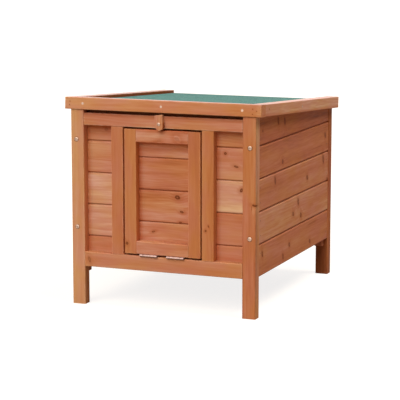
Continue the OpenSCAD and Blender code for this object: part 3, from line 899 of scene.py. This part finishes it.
# Knots of the right wall: depth and height, half size across the grain, length as a share of it
WALL_KNOTS = [
    (-0.1122, 0.3849, 0.0095, 0.5), (-0.0716, 0.3792, 0.0095, 0.5),
    (0.2028, 0.3190, 0.0070, 0.8), (0.1905, 0.2672, 0.0115, 0.45),
    (-0.0832, 0.2976, 0.0055, 0.9), (0.0790, 0.2414, 0.0060, 0.9),
    (-0.1288, 0.2648, 0.0090, 0.55), (0.0198, 0.1975, 0.0085, 0.6),
    (-0.0131, 0.1765, 0.0055, 0.9), (0.0382, 0.1660, 0.0060, 0.9),
    (-0.0367, 0.1151, 0.0055, 0.9), (0.1007, 0.0983, 0.0055, 0.9),
    (-0.2040, 0.1259, 0.0075, 0.55), (-0.0765, 0.0970, 0.0075, 0.55),
    (0.2203, 0.2168, 0.0048, 0.9), (-0.2049, 0.3748, 0.0035, 1.0),
]


def paint_walls():
    # The deep tones of the top boards are partly painted shade under the roof's overhang
    (Fir("boards_side_right", "Y", [0.44, 0.62, 0.52, 0.33, 0.25], 3683)
     .boards(WALL_JOINT_Z, joint_pool_and_shade=0.7)
     .knots(*(knot(SIDE_FACE_X, y, z, across, along, 0.2, 0.9)
              for y, z, across, along in WALL_KNOTS))
     .stain(amber=0.3))
    (Fir("boards_side_left", "Y", [0.5, 0.6, 0.52, 0.56, 0.42], 89)
     .boards(WALL_JOINT_Z, joint_pool_and_shade=0.35)
     .strew_knots(0.4)
     .stain())
    (Fir("boards_rear", "X", [0.58, 0.5, 0.66, 0.55, 0.6], 94)
     .boards(WALL_JOINT_Z, joint_pool_and_shade=0.3)
     .strew_knots(0.4)
     .stain())
    Fir("rail_rear_top", "X", 0.52, 52).strew_knots(0.3).stain()
    Fir("rail_rear_bottom", "X", 0.55, 57).strew_knots(0.3).stain()


def paint_inner_wood():
    """Battens, bearers, door stops, floor and the boards under the felt."""
    for i, corner in enumerate(("front_left", "front_right", "rear_left", "rear_right")):
        Fir("batten_" + corner, "Z", 0.36, 101 + 4 * i).strew_knots(0.3).stain()
    for i, side in enumerate(("left", "right")):
        Fir("bearer_" + side, "Y", 0.38, 121 + 4 * i).strew_knots(0.3).stain()
        Fir("door_stop_" + side, "Z", 0.45, 131 + 4 * i).pool(0.3).stain()
    (Fir("floor_boards", "X", [0.5, 0.44, 0.55, 0.46, 0.5, 0.42, 0.5], 141)
     .boards(FLOOR_JOINT_Y, upright=False)
     .strew_knots(0.4)
     .stain())
    (Fir("roof_deck", "Y", [0.5, 0.44, 0.55, 0.46, 0.5, 0.42], 211, ROOF_SLOPE)
     .boards(DECK_JOINT_X, upright=False)
     .strew_knots(0.4)
     .stain())
    Fir("roof_cross_front", "X", 0.66, 221, ROOF_SLOPE).stain(amber=0.55)
    Fir("roof_cross_rear", "X", 0.45, 226, ROOF_SLOPE).stain()


def paint_zinc(name, cast=WHITE, stain=0.0, shaded_below=None):
    """Zinc-plated steel.

    cast tints the zinc: its passivation, and on the door hinges a painted reflection of the wood.
    stain is how much of the wood's stain has dried on it. Where the shading height is given, the
    metal under it is painted dark all over, as painted shade and reflection.
    """
    material, g, shader = new_material(name)
    point = g.node("TexCoord").outputs["Object"]
    film = g.group(ZINC_FILM, Point=point)
    # On the door hinges the metal under the height is painted dark, as painted shade and reflection
    if shaded_below is not None:
        height = g.math("SUBTRACT", g.split(point)["Z"], shaded_below)
        stain = g.smooth(height, HINGE_SHADE_FADE, -HINGE_SHADE_FADE)
        stain = g.math("MULTIPLY", stain, HINGE_SHADE_SHARE)
    colour = g.mix(stain, g.tint(film["Color"], cast), DRIED_STAIN_AND_SHADE)
    g.feed(shader.inputs["Base Color"], colour)
    g.feed(shader.inputs["Roughness"], film["Roughness"])
    shader.inputs["Metallic"].default_value = 1.0
    bump(g, shader, film["Height"], *ZINC_RELIEF)
    return material


def paint_felt():
    """Green roofing felt, darker along its side edges."""
    material, g, shader = new_material("roofing_felt")
    sockets = {"Vector": g.node("TexCoord").outputs["Object"], "Rotation": (ROOF_SLOPE, 0.0, 0.0)}
    point = g.node("Mapping", sockets).outputs[0]
    felt = g.group(FELT_GRANULES, Point=point)
    aside = g.math("ABSOLUTE", g.split(point)["X"])
    darker_rim = g.math("MULTIPLY", g.smooth(aside, *FELT_RIM_BAND), FELT_RIM_SHARE)
    g.feed(shader.inputs["Base Color"], g.mix(darker_rim, felt["Color"], FELT_RIM_COLOUR))
    g.feed(shader.inputs["Roughness"], felt["Roughness"])
    shader.inputs["Specular IOR Level"].default_value = FELT_SHEEN
    bump(g, shader, felt["Height"], *FELT_RELIEF)
    return material


ZINC = paint_zinc("zinc_steel")
SCREW_STEEL = paint_zinc("screw_steel", SCREW_CAST)
DOOR_HINGE_STEEL = paint_zinc("door_hinge_steel", DOOR_HINGE_WOOD_REFLECTION, shaded_below=HINGE_SHADE_Z)
BRAD_STEEL = paint_zinc("brad_steel", stain=BRAD_STAIN_SHARE)
FELT = paint_felt()

# Carries places counted from the roof's lower front edge, along its slope, into the frame
ON_ROOF = Matrix.Translation(ROOF_FRONT) @ Matrix.Rotation(-ROOF_SLOPE, 4, "X")


def dress_hinges_and_screws():
    for name in nodes:
        if "hinge" in name:
            dress(name, DOOR_HINGE_STEEL if name.startswith("door") else ZINC)
        if "screw" in name:
            dress(name, SCREW_STEEL)


def finish_piece(name, shape, material, body):
    """Makes a piece of a finished bmesh, smooth but for its sharp edges, and sets it on a body."""
    bmesh.ops.recalc_face_normals(shape, faces=shape.faces)
    for face in shape.faces:
        face.smooth = True
    for edge in shape.edges:
        edge.smooth = len(edge.link_faces) < 2 or edge.calc_face_angle() < SHARP_ANGLE
    mesh = bpy.data.meshes.new(name)
    shape.to_mesh(mesh)
    shape.free()
    mesh.materials.append(material)
    piece = bpy.data.objects.new(name, mesh)
    bpy.context.scene.collection.objects.link(piece)
    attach(piece, body)
    return piece


def wave_felt(shape):
    """Raises the felt in slight waves that die away towards its edges."""
    for vert in shape.verts:
        x, u = vert.co.x, vert.co.y
        wave = sum(share * math.sin(along * u + across * x + start)
                   for share, along, across, start in FELT_WAVES)
        inside = min(1.0, (FELT_HALF_WIDTH - abs(x)) / FELT_FADE, (u - FELT_START) / FELT_FADE,
                     (ROOF_LENGTH - u) / FELT_REAR_FADE)
        vert.co.z += FELT_WAVE * (FELT_WAVE_MIDDLE + wave) * max(inside, 0.0)


def fold_flap(shape):
    """Turns the felt down over the rear ends of the roof boards."""
    rear = [e for e in shape.edges if all(v.co.y > ROOF_LENGTH - 0.001 for v in e.verts)]
    made = bmesh.ops.extrude_edge_only(shape, edges=rear)["geom"]
    lower = [v for v in made if isinstance(v, bmesh.types.BMVert)]
    bmesh.ops.translate(shape, vec=(0.0, 0.0, -FELT_FLAP), verts=lower)
    bmesh.ops.bevel(shape, geom=rear, offset=FELT_FOLD, segments=4, profile=0.5,
                    affect="EDGES", material=-1)


def lay_felt():
    """Felt on the roof boards: slightly wavy, and turned down over their rear ends."""
    shape = bmesh.new()
    columns, rows = FELT_GRID
    width, length = 2 * FELT_HALF_WIDTH, ROOF_LENGTH - FELT_START
    bmesh.ops.create_grid(shape, x_segments=columns, y_segments=rows, size=0.5)
    bmesh.ops.scale(shape, vec=(width, length, 1.0), verts=shape.verts)
    bmesh.ops.translate(
        shape, vec=(0.0, FELT_START + length / 2, FELT_TOP), verts=shape.verts)
    wave_felt(shape)
    fold_flap(shape)
    bmesh.ops.transform(shape, matrix=ON_ROOF, verts=shape.verts)
    felt = finish_piece("roof_felt_sheet", shape, FELT, "roof")
    thickness = felt.modifiers.new("thickness", "SOLIDIFY")
    thickness.thickness = FELT_THICKNESS
    thickness.offset = -1.0
    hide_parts("roof_felt")


def add_nail_head(shape, place, radius, rise):
    """A low domed nail head that stands on a face; place turns +Z to the face's normal."""
    made = bmesh.ops.create_cone(shape, cap_ends=True, segments=NAIL_SIDES, radius1=radius,
                                 radius2=NAIL_TAPER * radius, depth=rise)
    verts = made["verts"]
    bmesh.ops.translate(shape, vec=(0.0, 0.0, rise / 2), verts=verts)
    top = {v for v in verts if v.co.z > 0.9 * rise}
    rim = {e for v in top for e in v.link_edges if all(w in top for w in e.verts)}
    rounded = bmesh.ops.bevel(shape, geom=list(rim), offset=NAIL_ROUNDING * rise, segments=2,
                              profile=0.5, affect="EDGES", material=-1)
    verts = set(rounded["verts"]) | {v for v in verts if v.is_valid}
    bmesh.ops.transform(shape, matrix=place, verts=list(verts))


def drive_felt_nails():
    """Clout nails along the felt's rear flap."""
    shape = bmesh.new()
    turned = Matrix.Rotation(math.radians(-90), 4, "X")
    for i in range(FELT_NAILS):
        x = (i - (FELT_NAILS - 1) / 2) * FELT_NAIL_PITCH
        place = ON_ROOF @ Matrix.Translation((x, ROOF_LENGTH, FELT_NAIL_UP)) @ turned
        add_nail_head(shape, place, FELT_NAIL_RADIUS, FELT_NAIL_RISE)
    finish_piece("felt_nails", shape, ZINC, "roof")


def brad_places():
    """Depth and height of two brads near each end of every side board, under the roof's slope."""
    for board in range(WALL_BOARDS):
        low = WALL_JOINT_Z + (board - 1) * BOARD_PITCH
        for y in (FRONT_Y + BRAD_INSET, REAR_Y - BRAD_INSET):
            for up in BRAD_HEIGHTS:
                if low + up < BRAD_LIMIT_Z - (y - FRONT_Y) * math.tan(ROOF_SLOPE):
                    yield y, low + up


def drive_wall_brads(side, name):
    shape = bmesh.new()
    turned = Matrix.Rotation(math.radians(90 * side), 4, "Y")
    for y, z in brad_places():
        place = Matrix.Translation((side * SIDE_FACE_X, y, z)) @ turned
        add_nail_head(shape, place, BRAD_RADIUS, BRAD_RISE)
    finish_piece(name, shape, BRAD_STEEL, "hutch")


def camera_sees(g):
    """1 for rays that show the background: from the camera, in gloss and through glass."""
    path = g.node("LightPath").outputs
    seen = g.math("MAXIMUM", path["Is Camera Ray"], path["Is Glossy Ray"])
    return g.math("MAXIMUM", seen, path["Is Transmission Ray"])


def paint_floor():
    material, g, shader = new_material("pale_floor")
    shader.inputs["Base Color"].default_value = FLOOR_COLOUR
    shader.inputs["Roughness"].default_value = FLOOR_ROUGHNESS
    shader.inputs["Specular IOR Level"].default_value = 0.0
    shader.inputs["Emission Color"].default_value = WHITE
    glow = g.math("MULTIPLY", camera_sees(g), FLOOR_GLOW)
    g.feed(shader.inputs["Emission Strength"], glow)
    return material


def lay_floor():
    """A plain pale floor that keeps the hutch's shadow."""
    mesh = bpy.data.meshes.new("floor")
    shape = bmesh.new()
    bmesh.ops.create_grid(shape, x_segments=1, y_segments=1, size=FLOOR_REACH)
    shape.to_mesh(mesh)
    shape.free()
    mesh.materials.append(paint_floor())
    floor = bpy.data.objects.new("floor", mesh)
    bpy.context.scene.collection.objects.link(floor)


def light_world():
    """A weak warm light from all round, behind a white background."""
    world = bpy.data.worlds.new("studio")
    world.use_nodes = True
    g = Graph(world.node_tree)
    background = world.node_tree.nodes["Background"]
    g.feed(background.inputs["Color"], g.mix(camera_sees(g), AMBIENT_FILL, WHITE))
    bpy.context.scene.world = world


def hang_lamp(name, azimuth, elevation, spread, strength):
    """A broad even light from far away; azimuth is counted from the front to the right."""
    lamp = bpy.data.lights.new(name, "SUN")
    lamp.angle = math.radians(spread)
    lamp.energy = strength
    turn, rise = math.radians(azimuth), math.radians(elevation)
    level = math.cos(rise)
    away = Vector((math.sin(turn) * level, -math.cos(turn) * level, math.sin(rise)))
    holder = bpy.data.objects.new(name, lamp)
    holder.location = LAMP_DISTANCE * away
    holder.rotation_euler = away.to_track_quat("Z", "Y").to_euler()
    bpy.context.scene.collection.objects.link(holder)


def place_camera():
    """The camera at the photograph's viewing angle."""
    lens = bpy.data.cameras.new("photo_camera")
    lens.lens = CAMERA_LENS
    lens.sensor_width = CAMERA_SENSOR
    lens.sensor_fit = "HORIZONTAL"
    lens.clip_end = CAMERA_REACH
    holder = bpy.data.objects.new("photo_camera", lens)
    holder.location = CAMERA_PLACE
    view = Vector(CAMERA_AIM) - Vector(CAMERA_PLACE)
    holder.rotation_euler = view.to_track_quat("-Z", "Y").to_euler()
    bpy.context.scene.collection.objects.link(holder)
    bpy.context.scene.camera = holder


paint_legs()
paint_front_frame()
paint_front_boards()
paint_door()
paint_roof_frame()
paint_walls()
paint_inner_wood()
dress_hinges_and_screws()

lay_felt()
drive_felt_nails()
drive_wall_brads(-1, "wall_brads_left")
drive_wall_brads(1, "wall_brads_right")

place_camera()
lay_floor()
light_world()
for lamp in LAMPS:
    hang_lamp(*lamp)
bpy.context.scene.view_settings.view_transform = "Standard"
